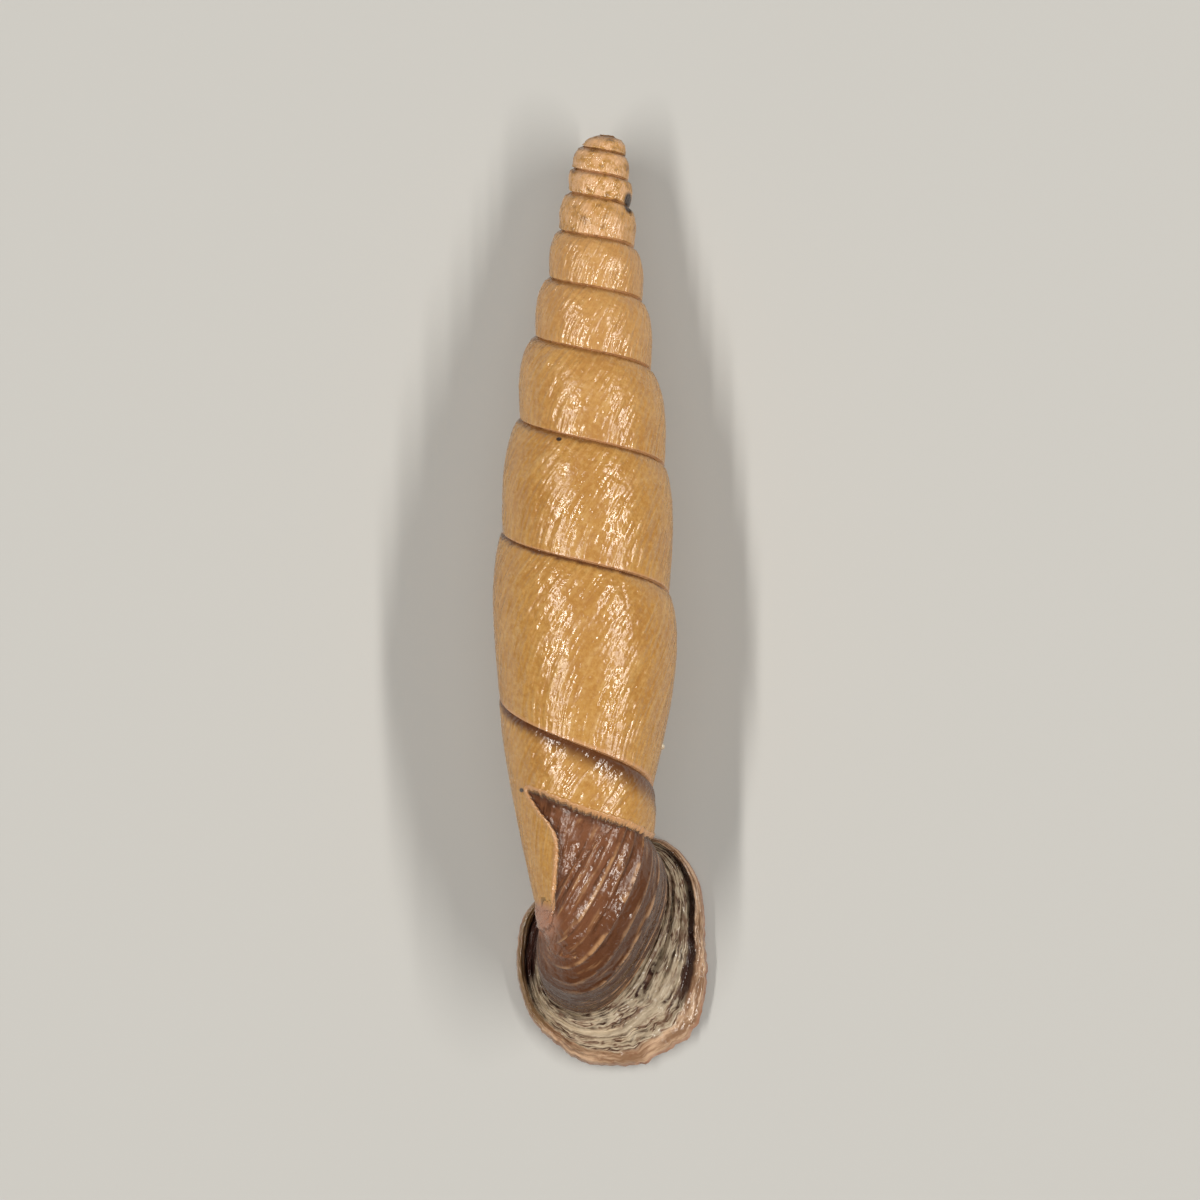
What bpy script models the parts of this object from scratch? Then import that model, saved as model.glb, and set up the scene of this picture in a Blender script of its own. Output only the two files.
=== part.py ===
"""A sinistral door snail shell, 30 mm long, lying on its mouth.

The shell lies along Y with its apex at +Y, its dorsal side up and its mouth facing down.
Seen from above it coils to the left: growth runs from -X over the top to +X while it
descends towards -Y. It rests on the lip of its mouth and on the belly of its widest whorl.

The spire and body whorl are one surface, ruled between one turn of the suture and the
next. The neck is a second surface, made of growth rings that turn from upright to level
as the tube bends down into the trumpet lip. It comes out from under the old orange edge of
the body whorl, where the shell once broke and grew on. Sizes are in millimetres up to the
last step, which places the solid.
"""

import math

import bmesh
import bpy
from mathutils import Vector

MM = 0.001

# Spire: where each half turn of the suture lies, from the apex on. The even entries are on
# the left side and the odd ones on the right. Each is the distance below the apex, the
# distance from the axis, and how far the whorl below bulges beyond a straight line.
SUTURE = (
    (0.00, 0.00, 0.20), (0.10, 0.46, 0.17), (0.35, 0.62, 0.12), (0.71, 0.80, 0.08),
    (1.07, 0.91, 0.07), (1.53, 0.93, 0.13), (1.85, 0.96, 0.15), (2.38, 1.00, 0.16),
    (3.08, 1.23, 0.17), (3.71, 1.21, 0.19), (4.62, 1.48, 0.22), (5.46, 1.55, 0.20),
    (6.53, 1.85, 0.29), (7.71, 1.92, 0.28), (9.20, 2.25, 0.27), (10.82, 2.48, 0.22),
    (12.90, 2.69, 0.25), (15.00, 2.73, 0.42), (18.27, 2.73, 0.15), (21.29, 2.18, 0.20),
    (24.97, 1.57, 0.08), (24.20, 1.90, 0.00), (26.20, 1.30, 0.00), (26.50, 1.05, 0.00),
    (27.30, 0.00, 0.00),
)
BULGE_HIGH = 0.68               # below 1, the fullest part of a whorl is above its middle
MOST_BULGE = 0.4                # share of the radius, which rounds off the apex
GROOVE_DEPTH = 0.09             # of the suture
GROOVE_BELOW = 0.15             # how wide the groove is on its gentle lower side
GROOVE_ABOVE = 0.05             # and on its steep upper side, the edge of the older whorl
GROOVE_MOST = 0.12              # the most of a whorl's height that the groove may take
GROOVE_RADIUS_SHARE = 0.125     # the most of the radius that it may take, which spares the apex
GROOVE_END = 19.6               # the half turn at which the last suture fades out
APEX_Y = 15.15
AXIS_X = -0.52                  # the axis of the lower whorls
AXIS_LEAN = 0.56                # how far the apex leans to the right of that
LEAN_POWER = 1.3                # above 1, the lean is mostly in the upper whorls
COIL_TILT = 0.08                # how far the coil sinks towards the lip per millimetre of height
LYING_TILT = math.radians(3.6)  # the lip lifts the wide end, so the apex points down a little
AXIS_HEIGHT = 2.93              # the axis above the ground where y is 0

# The old edge of the body whorl, seen from above: along its upper side, then down its strip.
EDGE_UPPER = ((2.60, -8.15), (1.66, -7.62), (1.03, -7.22), (0.53, -7.02), (-0.21, -6.78),
              (-1.48, -6.30), (-2.31, -6.02))
EDGE_STRIP = ((-1.96, -6.66), (-1.64, -7.04), (-1.42, -7.42), (-1.35, -7.85), (-1.38, -8.40),
              (-1.44, -9.20), (-1.46, -9.90), (-1.66, -10.35), (-2.30, -10.75))
EDGE_REST = ((-2.30, -16.0), (4.0, -16.0), (4.0, -8.3))  # back round the lip, clear of it
EDGE_FLOOR = 2.1                # the cut inside the old edge goes down to this height
EDGE_CUT_HEIGHT = 8.0           # and up past the top of the whorl
EDGE_STEP = 0.15                # the newer growth lies this far below the old edge
INSET_RADIUS_SHARE = 0.25       # but no deeper than this share of the radius

# Neck: growth rings from the old edge to the root of the lip. Each is the ring's centre, its
# half length along the hinge, its half width across it, and how far it has turned down.
HINGE_ANGLE = math.radians(63)
NECK_RINGS = (
    ((-0.88, -8.22, 3.80), 2.16, 1.12, -14.0),
    ((-0.52, -8.16, 4.18), 2.42, 1.22, 4.0),
    ((-0.34, -8.84, 4.08), 2.58, 1.40, 30.0),
    ((-0.16, -9.76, 3.60), 2.78, 1.56, 62.0),
    ((0.02, -10.30, 2.75), 2.84, 1.64, 88.0),
    ((0.06, -10.60, 1.80), 2.86, 1.62, 90.0),
    ((0.08, -10.74, 1.10), 2.88, 1.62, 90.0),
)
RING_FULLNESS = 2.4             # 2 is an ellipse, more is squarer
# Growth ridges on the neck: the stage of each crest and its height.
RIDGES = ((0.12, 0.05), (0.18, 0.07), (0.23, 0.04), (0.29, 0.08), (0.35, 0.05), (0.41, 0.09),
          (0.48, 0.05), (0.55, 0.08), (0.62, 0.05), (0.69, 0.07), (0.77, 0.05), (0.86, 0.08),
          (0.93, 0.05))
RIDGE_RISE = 0.025              # a ridge climbs slowly as the neck grows
RIDGE_FALL = 0.009              # and drops off steeply
SMOOTH_STEP = 0.05              # the longest stretch of the neck without a ring

# Lip: its reach from its centre, every 22.5 degrees clockwise from +X as seen from above.
LIP_CENTRE = (0.36, -11.54)
LIP_REACH = (3.13, 3.40, 3.78, 3.80, 3.79, 3.64, 3.45, 3.25, 3.12, 3.13, 3.00, 3.25, 3.67,
             4.08, 3.84, 3.31)
# Its back, from the neck out to the rim, then its front, from the rim in to the throat. Each
# is the share of the way from the neck to the rim, and the height above the ground.
LIP_BACK = ((0.05, 0.82), (0.11, 0.88), (0.18, 0.68), (0.26, 0.74), (0.34, 0.56),
            (0.43, 0.60), (0.52, 0.44), (0.60, 0.34), (0.69, 0.54), (0.80, 0.66),
            (0.92, 0.62))
LIP_FRONT = ((1.00, 0.44), (0.98, 0.20), (0.86, 0.03), (0.66, -0.05), (0.44, -0.03),
             (0.24, 0.10), (0.08, 0.34), (-0.05, 0.66))
LOBE_HEIGHT = 0.06              # the rim is frilled like an oyster's at its lower right
LOBE_COUNT = 11
LOBE_PLACE = math.radians(65)

WALL = 0.26                     # thickness of the neck's wall
THROAT_STAGES = (0.94, 0.84, 0.74, 0.64, 0.55, 0.46)
THROAT_END = 0.42               # the opened part of the body whorl reaches a little deeper
# Folds that stand in the mouth: place round the ring, height and width of each.
FOLDS = ((math.radians(-20), 0.62, 0.16), (math.radians(248), 0.42, 0.20))

CHIP_PLACE = (0.99, 12.78, 2.74)  # a small break in the right side of an upper whorl
CHIP_SIZE = (0.12, 0.36, 0.22)
GRAIN_PLACE = (1.97, -4.70, 3.22)  # a grain of sand stuck to the right side
GRAIN_RADIUS = 0.10
BALL_DETAIL = 2

GROUND_SIZE = 60.0              # of the block of ground that the shell stands on

COLUMNS_A_TURN = 28
BELLY_ROWS = 5
END_MERGE = 0.05                # points nearer than this to either tip are that tip
RING_POINTS = 42
SHELL_COLOUR = (0.62, 0.33, 0.13, 1.0)
SHELL_ROUGHNESS = 0.3


def spline(points, place):
    """The smooth curve through points, at a place counted in points."""
    last = len(points) - 1
    place = min(max(place, 0.0), float(last))
    start = min(int(place), last - 1)
    part = place - start
    before = points[max(start - 1, 0)]
    after = points[min(start + 2, last)]
    result = []
    for a, b, c, d in zip(before, points[start], points[start + 1], after):
        slope_in = (c - a) / 2
        slope_out = (d - b) / 2
        value = (b * (1 + 2 * part) * (1 - part) ** 2 + slope_in * part * (1 - part) ** 2
                 + c * part ** 2 * (3 - 2 * part) - slope_out * part ** 2 * (1 - part))
        result.append(value)
    return result


def mix(a, b, share):
    return a + (b - a) * share


def make_object(name, bm):
    """A closed mesh object in metres from a bmesh in millimetres."""
    bmesh.ops.scale(bm, verts=bm.verts, vec=(MM, MM, MM))
    bmesh.ops.triangulate(bm, faces=bm.faces)
    bmesh.ops.recalc_face_normals(bm, faces=bm.faces)
    mesh = bpy.data.meshes.new(name)
    bm.to_mesh(mesh)
    bm.free()
    obj = bpy.data.objects.new(name, mesh)
    bpy.context.scene.collection.objects.link(obj)
    return obj


def groove_shares(height):
    """The shares of a whorl's height that the suture's groove takes below and above it."""
    height = max(height, GROOVE_BELOW)
    return min(GROOVE_BELOW / height, GROOVE_MOST), min(GROOVE_ABOVE / height, GROOVE_MOST / 2)


def row_shares(half_turns):
    """The rows of a whorl: the two edges of the groove, and the ones evenly between them."""
    height = spline(SUTURE, half_turns + 2)[0] - spline(SUTURE, half_turns)[0]
    below, above = groove_shares(height)
    between = [mix(below, 1 - above, number / BELLY_ROWS) for number in range(BELLY_ROWS + 1)]
    return [0.0] + between


def whorl_point(half_turns, share, inset=0.0):
    """A point on the spire, at a share of the way down from one suture to the next."""
    upper_depth, upper_radius, bulge = spline(SUTURE, half_turns)
    lower_depth, lower_radius, _ = spline(SUTURE, half_turns + 2)
    below, above = groove_shares(lower_depth - upper_depth)
    depth = mix(upper_depth, lower_depth, share)
    radius = mix(upper_radius, lower_radius, share)
    bulge = min(bulge, lower_radius * MOST_BULGE)
    radius += bulge * math.sin(math.pi * share ** BULGE_HIGH)
    out_of_groove = min(share / below, (1 - share) / above, 1.0)
    groove_turn = half_turns + (0 if share < 0.5 else 2)
    groove = GROOVE_DEPTH * min(1.0, max(0.0, GROOVE_END - groove_turn))
    radius -= min(radius * GROOVE_RADIUS_SHARE, groove) * (1 - out_of_groove)
    radius -= min(radius * INSET_RADIUS_SHARE, inset)
    y = APEX_Y - depth - inset
    lean = AXIS_LEAN * max(0.0, y / APEX_Y) ** LEAN_POWER
    angle = math.pi * half_turns
    x = AXIS_X + lean - radius * math.cos(angle)
    z = radius * math.sin(angle)
    y -= COIL_TILT * z
    turned_y = y * math.cos(LYING_TILT) + z * math.sin(LYING_TILT)
    turned_z = AXIS_HEIGHT + z * math.cos(LYING_TILT) - y * math.sin(LYING_TILT)
    return x, turned_y, turned_z


def make_whorls(name, inset=0.0):
    """The spire and the body whorl: a strip wound round the axis, its edges meeting."""
    bm = bmesh.new()
    apex = bm.verts.new(whorl_point(0, 0, inset))
    tip = bm.verts.new(whorl_point(len(SUTURE) - 1, 0, inset))
    turns = (len(SUTURE) + 1) / 2
    grid = []
    for number in range(round(turns * COLUMNS_A_TURN) + 1):
        half_turns = -2 + 2 * number / COLUMNS_A_TURN
        column = []
        for share in row_shares(half_turns):
            point = Vector(whorl_point(half_turns, share, inset))
            ends = [end for end in (apex, tip) if (end.co - point).length < END_MERGE]
            column.append(ends[0] if ends else bm.verts.new(point))
        grid.append(column)
    for number, column in enumerate(grid):
        turn_on = number + COLUMNS_A_TURN
        column.append(grid[turn_on][0] if turn_on < len(grid) else tip)
    for left, right in zip(grid, grid[1:]):
        for row in range(BELLY_ROWS + 2):
            corners = (left[row], left[row + 1], right[row + 1], right[row])
            distinct = list(dict.fromkeys(corners))
            if len(distinct) > 2:
                bm.faces.new(distinct)
    return make_object(name, bm)


def rounded(value):
    """A sine or cosine, pushed out so that a ring is fuller than an ellipse."""
    return math.copysign(abs(value) ** (2 / RING_FULLNESS), value)


def ring_angles():
    return [2 * math.pi * number / RING_POINTS for number in range(RING_POINTS)]


def neck_ring(stage, inset=0.0, folds=(), ridge=0.0):
    """One growth ring of the neck, at a stage from 0 at its root to 1 at the lip.

    A ridge is highest on the outside of the bend and fades away on the inside.
    """
    flat = [(*centre, length, width, turn) for centre, length, width, turn in NECK_RINGS]
    x, y, z, length, width, turn = spline(flat, stage * (len(flat) - 1))
    turn = math.radians(turn)
    ring = []
    for angle in ring_angles():
        outside = (1 + math.sin(angle)) / 2
        depth = inset + fold_height(angle, folds) - ridge * outside
        on_length = (length - depth) * rounded(math.cos(angle))
        on_width = (width - depth) * rounded(math.sin(angle))
        level = on_width * math.sin(turn)
        ring.append((x + on_length * math.cos(HINGE_ANGLE) + level * math.sin(HINGE_ANGLE),
                     y + on_length * math.sin(HINGE_ANGLE) - level * math.cos(HINGE_ANGLE),
                     z + on_width * math.cos(turn)))
    return ring


def fold_height(angle, folds):
    """How far the folds of the mouth stand in at this angle of a ring."""
    height = 0.0
    for place, tall, wide in folds:
        away = abs((angle - place + math.pi) % (2 * math.pi) - math.pi)
        height = max(height, tall * max(0.0, 1 - away / wide))
    return height


def lip_reach(angle):
    """The reach of the rim from the lip's centre, clockwise from +X, with its frill."""
    count = len(LIP_REACH)
    looped = [(value,) for value in LIP_REACH[-1:] + LIP_REACH + LIP_REACH[:2]]
    reach = spline(looped, 1 + angle / (2 * math.pi) * count % count)[0]
    frilled = max(0.0, math.cos(angle - LOBE_PLACE))
    return reach + LOBE_HEIGHT * frilled * math.sin(LOBE_COUNT * angle)


def lip_ring(share, height):
    """A ring of the lip, at a share of the way from the neck to the rim."""
    ring = []
    for angle, (x, y, _) in zip(ring_angles(), neck_ring(1.0)):
        clockwise = angle - HINGE_ANGLE
        reach = lip_reach(clockwise)
        rim_x = LIP_CENTRE[0] + reach * math.cos(clockwise)
        rim_y = LIP_CENTRE[1] - reach * math.sin(clockwise)
        ring.append((mix(x, rim_x, share), mix(y, rim_y, share), height))
    return ring


def loft(name, rings):
    """A closed solid through rings of equal count, its two ends capped."""
    bm = bmesh.new()
    rows = [[bm.verts.new(point) for point in ring] for ring in rings]
    for row, following in zip(rows, rows[1:]):
        for number in range(len(row)):
            after = (number + 1) % len(row)
            bm.faces.new((row[number], row[after], following[after], following[number]))
    for row in (rows[0], rows[-1]):
        centre = sum((vert.co for vert in row), Vector()) / len(row)
        middle = bm.verts.new(centre)
        for number in range(len(row)):
            bm.faces.new((row[number], row[(number + 1) % len(row)], middle))
    return make_object(name, bm)


def neck_stages():
    """The stage and height of every ring of the neck: its ridges, and what fills the gaps."""
    stages = [(0.0, 0.0)]
    for crest, height in RIDGES + ((1.0 + RIDGE_RISE, 0.0),):
        foot = crest - RIDGE_RISE
        last = stages[-1][0]
        steps = math.ceil(max(foot - last, 0.0) / SMOOTH_STEP)
        stages += [(mix(last, foot, step / steps), 0.0) for step in range(1, steps + 1)]
        if height:
            stages += [(crest, height), (crest + RIDGE_FALL, 0.0)]
    return stages


def make_neck():
    """The neck and lip: a bent tube with a trumpet mouth, closed deep inside."""
    rings = [neck_ring(stage, ridge=height) for stage, height in neck_stages()]
    rings += [lip_ring(share, height) for share, height in LIP_BACK + LIP_FRONT]
    rings += [neck_ring(stage, WALL, FOLDS) for stage in THROAT_STAGES]
    return loft("neck", rings)


def make_throat_cutter():
    """What the inside of the neck takes out of the body whorl."""
    stages = (1.0,) + THROAT_STAGES + (THROAT_END,)
    rings = [neck_ring(stage, WALL / 2) for stage in stages]
    return loft("throat_cutter", rings)


def make_edge_cutter():
    """An upright prism over the part of the body whorl that the newer growth replaced."""
    outline = EDGE_UPPER + EDGE_STRIP + EDGE_REST
    bm = bmesh.new()
    floor = [bm.verts.new((x, y, EDGE_FLOOR)) for x, y in outline]
    bottom = bm.faces.new(floor)
    raised = bmesh.ops.extrude_face_region(bm, geom=[bottom])
    top = [item for item in raised["geom"] if isinstance(item, bmesh.types.BMVert)]
    bmesh.ops.translate(bm, verts=top, vec=(0, 0, EDGE_CUT_HEIGHT))
    return make_object("edge_cutter", bm)


def make_ground_cutter():
    """Everything below the ground, which leaves small flats where the shell rests."""
    bm = bmesh.new()
    bmesh.ops.create_cube(bm, size=GROUND_SIZE)
    bmesh.ops.translate(bm, verts=bm.verts, vec=(0, 0, -GROUND_SIZE / 2))
    return make_object("ground_cutter", bm)


def make_ball(name, place, size):
    bm = bmesh.new()
    bmesh.ops.create_icosphere(bm, subdivisions=BALL_DETAIL, radius=1.0)
    bmesh.ops.scale(bm, verts=bm.verts, vec=size)
    bmesh.ops.translate(bm, verts=bm.verts, vec=place)
    return make_object(name, bm)


def combine(obj, other, operation):
    """Cut or join another solid with a Boolean, and put that solid away."""
    modifier = obj.modifiers.new(other.name, "BOOLEAN")
    modifier.object = other
    modifier.operation = operation
    modifier.solver = "EXACT"
    other.hide_render = True
    other.display_type = "WIRE"


def stand_over_origin(solids):
    """Move everything so that the middle of the box round the solids is over the origin."""
    points = [vert.co for solid in solids for vert in solid.data.vertices]
    middle = [(min(axis) + max(axis)) / 2 for axis in zip(*points)]
    for obj in bpy.data.objects:
        obj.location = (-middle[0], -middle[1], 0)


def make_material():
    material = bpy.data.materials.new("shell")
    material.use_nodes = True
    shader = material.node_tree.nodes["Principled BSDF"]
    shader.inputs["Base Color"].default_value = SHELL_COLOUR
    shader.inputs["Roughness"].default_value = SHELL_ROUGHNESS
    shader.inputs["Metallic"].default_value = 0.0
    return material


def main():
    for obj in list(bpy.data.objects):
        bpy.data.objects.remove(obj)
    shell = make_whorls("shell")
    neck = make_neck()
    combine(shell, make_edge_cutter(), "DIFFERENCE")
    combine(shell, make_whorls("newer_growth", EDGE_STEP), "UNION")
    combine(shell, make_throat_cutter(), "DIFFERENCE")
    combine(shell, neck, "UNION")
    combine(shell, make_ball("chip", CHIP_PLACE, CHIP_SIZE), "DIFFERENCE")
    grain_size = (GRAIN_RADIUS, GRAIN_RADIUS, GRAIN_RADIUS)
    combine(shell, make_ball("grain", GRAIN_PLACE, grain_size), "UNION")
    combine(shell, make_ground_cutter(), "DIFFERENCE")
    stand_over_origin((shell, neck))
    shell.data.materials.append(make_material())
    shell.data.shade_smooth()


main()
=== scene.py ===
"""The looks of the door snail shell: its fine surface, its colours and gloss, and the studio.

The fine surface follows the same curves as the solid. Sizes are in millimetres up to the
last step, which places the mesh over the solid.
"""

import math

import bmesh
import bpy
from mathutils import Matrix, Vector, kdtree, noise


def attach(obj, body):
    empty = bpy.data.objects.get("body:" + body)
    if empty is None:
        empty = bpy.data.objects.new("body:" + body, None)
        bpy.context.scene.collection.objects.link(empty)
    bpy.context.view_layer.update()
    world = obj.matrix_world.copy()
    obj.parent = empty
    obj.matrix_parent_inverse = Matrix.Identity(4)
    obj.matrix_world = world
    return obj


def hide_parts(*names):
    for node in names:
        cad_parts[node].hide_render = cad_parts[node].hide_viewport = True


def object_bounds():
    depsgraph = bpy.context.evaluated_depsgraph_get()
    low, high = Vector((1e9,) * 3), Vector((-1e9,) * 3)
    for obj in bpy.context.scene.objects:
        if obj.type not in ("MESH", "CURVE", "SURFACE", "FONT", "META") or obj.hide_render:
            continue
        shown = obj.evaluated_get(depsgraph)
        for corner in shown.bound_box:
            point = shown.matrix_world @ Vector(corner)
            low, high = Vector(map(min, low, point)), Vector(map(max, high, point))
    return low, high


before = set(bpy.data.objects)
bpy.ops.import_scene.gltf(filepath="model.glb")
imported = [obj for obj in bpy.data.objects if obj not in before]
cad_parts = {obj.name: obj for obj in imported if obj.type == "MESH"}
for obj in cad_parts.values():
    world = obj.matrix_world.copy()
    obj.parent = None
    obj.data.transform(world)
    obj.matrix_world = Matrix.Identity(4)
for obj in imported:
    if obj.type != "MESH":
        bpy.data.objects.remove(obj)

SOLID_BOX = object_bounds()
MM = 0.001

# Spire: where each half turn of the suture lies, from the apex on. The even entries are on
# the left side and the odd ones on the right, so a whorl's lower suture is two entries on.
# Each is the distance below the apex, the distance from the axis, and how far the whorl
# below bulges beyond a straight line.
SUTURE = (
    (0.00, 0.00, 0.20), (0.10, 0.46, 0.17), (0.35, 0.62, 0.12), (0.71, 0.80, 0.08),
    (1.07, 0.91, 0.07), (1.53, 0.93, 0.13), (1.85, 0.96, 0.15), (2.38, 1.00, 0.16),
    (3.08, 1.23, 0.17), (3.71, 1.21, 0.19), (4.62, 1.48, 0.22), (5.46, 1.55, 0.20),
    (6.53, 1.85, 0.29), (7.71, 1.92, 0.28), (9.20, 2.25, 0.27), (10.82, 2.48, 0.22),
    (12.90, 2.69, 0.25), (15.00, 2.73, 0.42), (18.27, 2.73, 0.15), (21.29, 2.18, 0.20),
    (24.97, 1.57, 0.08), (24.20, 1.90, 0.00), (26.20, 1.30, 0.00), (26.50, 1.05, 0.00),
    (27.30, 0.00, 0.00),
)
BULGE_HIGH = 0.68               # below 1, the fullest part of a whorl is above its middle
MOST_BULGE = 0.4                # share of the radius, which rounds off the apex
GROOVE_DEPTH = 0.09             # of the suture
GROOVE_BELOW = 0.15             # how wide the groove is on its gentle lower side
GROOVE_ABOVE = 0.05             # and on its steep upper side, the edge of the older whorl
GROOVE_MOST = 0.12              # the most of a whorl's height that the groove may take
GROOVE_RADIUS_SHARE = 0.125     # the most of the radius that it may take, which spares the apex
GROOVE_END = 19.6               # the half turn at which the last suture fades out
APEX_Y = 15.15
AXIS_X = -0.52                  # the axis of the lower whorls
AXIS_LEAN = 0.56                # how far the apex leans to the right of that
LEAN_POWER = 1.3                # above 1, the lean is mostly in the upper whorls
COIL_TILT = 0.08                # how far the coil sinks towards the lip per millimetre of height
LYING_TILT = math.radians(3.6)  # the lip lifts the wide end, so the apex points down a little
AXIS_HEIGHT = 2.93              # the axis above the ground where y is 0

# The old edge of the body whorl, seen from above: along its upper side, then down its strip.
EDGE_UPPER = ((2.60, -8.15), (1.66, -7.62), (1.03, -7.22), (0.53, -7.02), (-0.21, -6.78),
              (-1.48, -6.30), (-2.31, -6.02))
EDGE_STRIP = ((-1.96, -6.66), (-1.64, -7.04), (-1.42, -7.42), (-1.35, -7.85), (-1.38, -8.40),
              (-1.44, -9.20), (-1.46, -9.90), (-1.66, -10.35), (-2.30, -10.75))
EDGE_REST = ((-2.30, -16.0), (4.0, -16.0), (4.0, -8.3))  # back round the lip, clear of it
EDGE_TOP = -5.9                 # all of the old edge is below this y
EDGE_CUTS = 12                  # straight pieces between two points of the old edge
EDGE_RAGGED = 0.05              # how far the old edge wanders from its smooth course
EDGE_CHANGE = 0.7               # how much its wandering changes from one piece to the next
EDGE_FLOOR = 2.1                # below this height the edge fades away
EDGE_FADE = 0.5                 # over a height of this
EDGE_REACH = 0.6                # distances from the edge are kept up to this
EDGE_SOFT = 0.035               # half the width of the step down to the newer growth
EDGE_STEP = 0.15                # the newer growth lies this far below the old edge
INSET_RADIUS_SHARE = 0.25       # but no deeper than this share of the radius
BEAD_HEIGHT = 0.05              # the old edge is a little swollen
BEAD_PLACE = 0.07               # the swelling's distance from the edge
BEAD_WIDTH = 0.06

# Neck: growth rings from the old edge to the root of the lip. Each is the ring's centre, its
# half length along the hinge, its half width across it, and how far it has turned down. A
# place along the neck is a stage, from 0 at the first ring to 1 at the last.
HINGE_ANGLE = math.radians(63)
NECK_RINGS = (
    ((-0.88, -8.22, 3.80), 2.16, 1.12, -14.0),
    ((-0.52, -8.16, 4.18), 2.42, 1.22, 4.0),
    ((-0.34, -8.84, 4.08), 2.58, 1.40, 30.0),
    ((-0.16, -9.76, 3.60), 2.78, 1.56, 62.0),
    ((0.02, -10.30, 2.75), 2.84, 1.64, 88.0),
    ((0.06, -10.60, 1.80), 2.86, 1.62, 90.0),
    ((0.08, -10.74, 1.10), 2.88, 1.62, 90.0),
)
RING_FULLNESS = 2.4             # 2 is an ellipse, more is squarer
# Growth ridges on the neck: the stage of each crest and its height.
RIDGES = ((0.12, 0.05), (0.18, 0.07), (0.23, 0.04), (0.29, 0.08), (0.35, 0.05), (0.41, 0.09),
          (0.48, 0.05), (0.55, 0.08), (0.62, 0.05), (0.69, 0.07), (0.77, 0.05), (0.86, 0.08),
          (0.93, 0.05))
RIDGE_RISE = 0.025              # a ridge climbs slowly as the neck grows
RIDGE_FALL = 0.009              # and drops off steeply
RIDGE_MOST = 0.09               # the height of the tallest ridge

# Lip: its reach from its centre, every 22.5 degrees clockwise from +X as seen from above.
LIP_CENTRE = (0.36, -11.54)
LIP_REACH = (3.13, 3.40, 3.78, 3.80, 3.79, 3.64, 3.45, 3.25, 3.12, 3.13, 3.00, 3.25, 3.67,
             4.08, 3.84, 3.31)
# Its back, from the neck out to the rim, then its front, from the rim in to the throat. Each
# is the share of the way from the neck to the rim, and the height above the ground.
LIP_BACK = ((0.05, 0.82), (0.11, 0.88), (0.18, 0.68), (0.26, 0.74), (0.34, 0.56),
            (0.43, 0.60), (0.52, 0.44), (0.60, 0.34), (0.69, 0.54), (0.80, 0.66),
            (0.92, 0.62))
LIP_FRONT = ((1.00, 0.44), (0.98, 0.20), (0.86, 0.03), (0.66, -0.05), (0.44, -0.03),
             (0.24, 0.10), (0.08, 0.34), (-0.05, 0.66))
LIP_CUTS = 5                    # rings that the fine lip has between two points of its back
LAYER_COUNT = 14.0              # rough layers from the neck to the rim
LAYER_CHANGE = 1.6              # how much they change round the lip
LAYER_HEIGHT = 0.13
LAYER_FADE = 4                  # they flatten out over the last fourth of the way to the rim
LAYER_FINER = 3                 # how much finer the second set of layers is
LAYER_FINER_HEIGHT = 0.4        # and its height as a share of the first set's
LOBE_HEIGHT = 0.06              # the rim is frilled like an oyster's at its lower right
LOBE_COUNT = 11
LOBE_PLACE = math.radians(65)
NOTCH_CHANGE = 6.0              # how fast the rim's small notches change round the lip
NOTCH_FINER = 2.3               # how much finer the second set of notches is
NOTCH_DEPTH = 0.13
NOTCH_LEAST = 0.3               # the share of that depth on the side without the frill

WALL = 0.26                     # thickness of the neck's wall
THROAT_STAGES = (0.94, 0.84, 0.74, 0.64, 0.55, 0.46)
THROAT_DEEPER = 0.04            # the opened part of the body whorl goes this much further in
# Folds that stand in the mouth: place round the ring, height and width of each.
FOLDS = ((math.radians(-20), 0.62, 0.16), (math.radians(248), 0.42, 0.20))

CHIP_PLACE = (0.99, 12.78, 2.74)  # a small break in the right side of an upper whorl
CHIP_SIZE = (0.12, 0.36, 0.22)
GRAIN_PLACE = (1.97, -4.70, 3.22)  # a grain of sand stuck to the right side
GRAIN_SIZE = (0.10, 0.10, 0.10)
BALL_DETAIL = 3
GROUND_SIZE = 60.0              # of the block of ground that the shell stands on

# The spire's mesh is a strip of columns, each leading from one suture down to the next.
TICKS = 240                     # the finest columns of the spire in a half turn
SLANT = -48                     # ticks that a column leans back on its way down a whorl
NEXT_TURN = 2 * TICKS + SLANT   # ticks from a column to the one that starts at its foot
# From which half turn on the columns lie this many ticks apart.
COLUMN_STEPS = ((-2.0, 8), (5.0, 4), (10.0, 2))
BELLY_ROWS = 16                 # rows of faces between a whorl's two grooves
END_MERGE = 0.01                # points nearer than this to either tip are that tip
SAME_SHARE = 0.0005             # shares nearer than this to a whorl's foot are the next whorl's top
SEAM_SHARE = 0.5                # a face whose shares differ by more lies on the seam of two whorls
REFINED_REACH = 0.28            # faces nearer than this to the old edge are cut finer
LONG_EDGE = 0.15                # there, edges longer than this
HEIGHT_CUTS = 4                 # are first cut this often
RING_POINTS = 180
STAGE_STEP = 0.008              # from one ring of the neck to the next

# What a point belongs to, which decides its colour.
OLD_SHELL, NEWER_SHELL, NECK, INSIDE = 0.0, 1.0, 2.0, 3.0
# The place of every modelled point, its region, its growth and its distance from the old edge.
TRAITS = []

STRIA_COUNT = 42                # growth lines in a half turn
STRIA_HEIGHT = 0.015
NEWER_HEIGHT = 0.03             # of the newer shell's growth lines
WORN_END = 9.0                  # the half turn at which the worn upper whorls end
WORN_FADE = 2                   # half turns over which the wear sets in
WORN_HEIGHT = 0.02
WORN_SMOOTH = 0.6               # the share of the growth lines that the wear takes away
RELIEF_FADE = 8                 # the relief fades out in the last eighth before a suture
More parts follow.
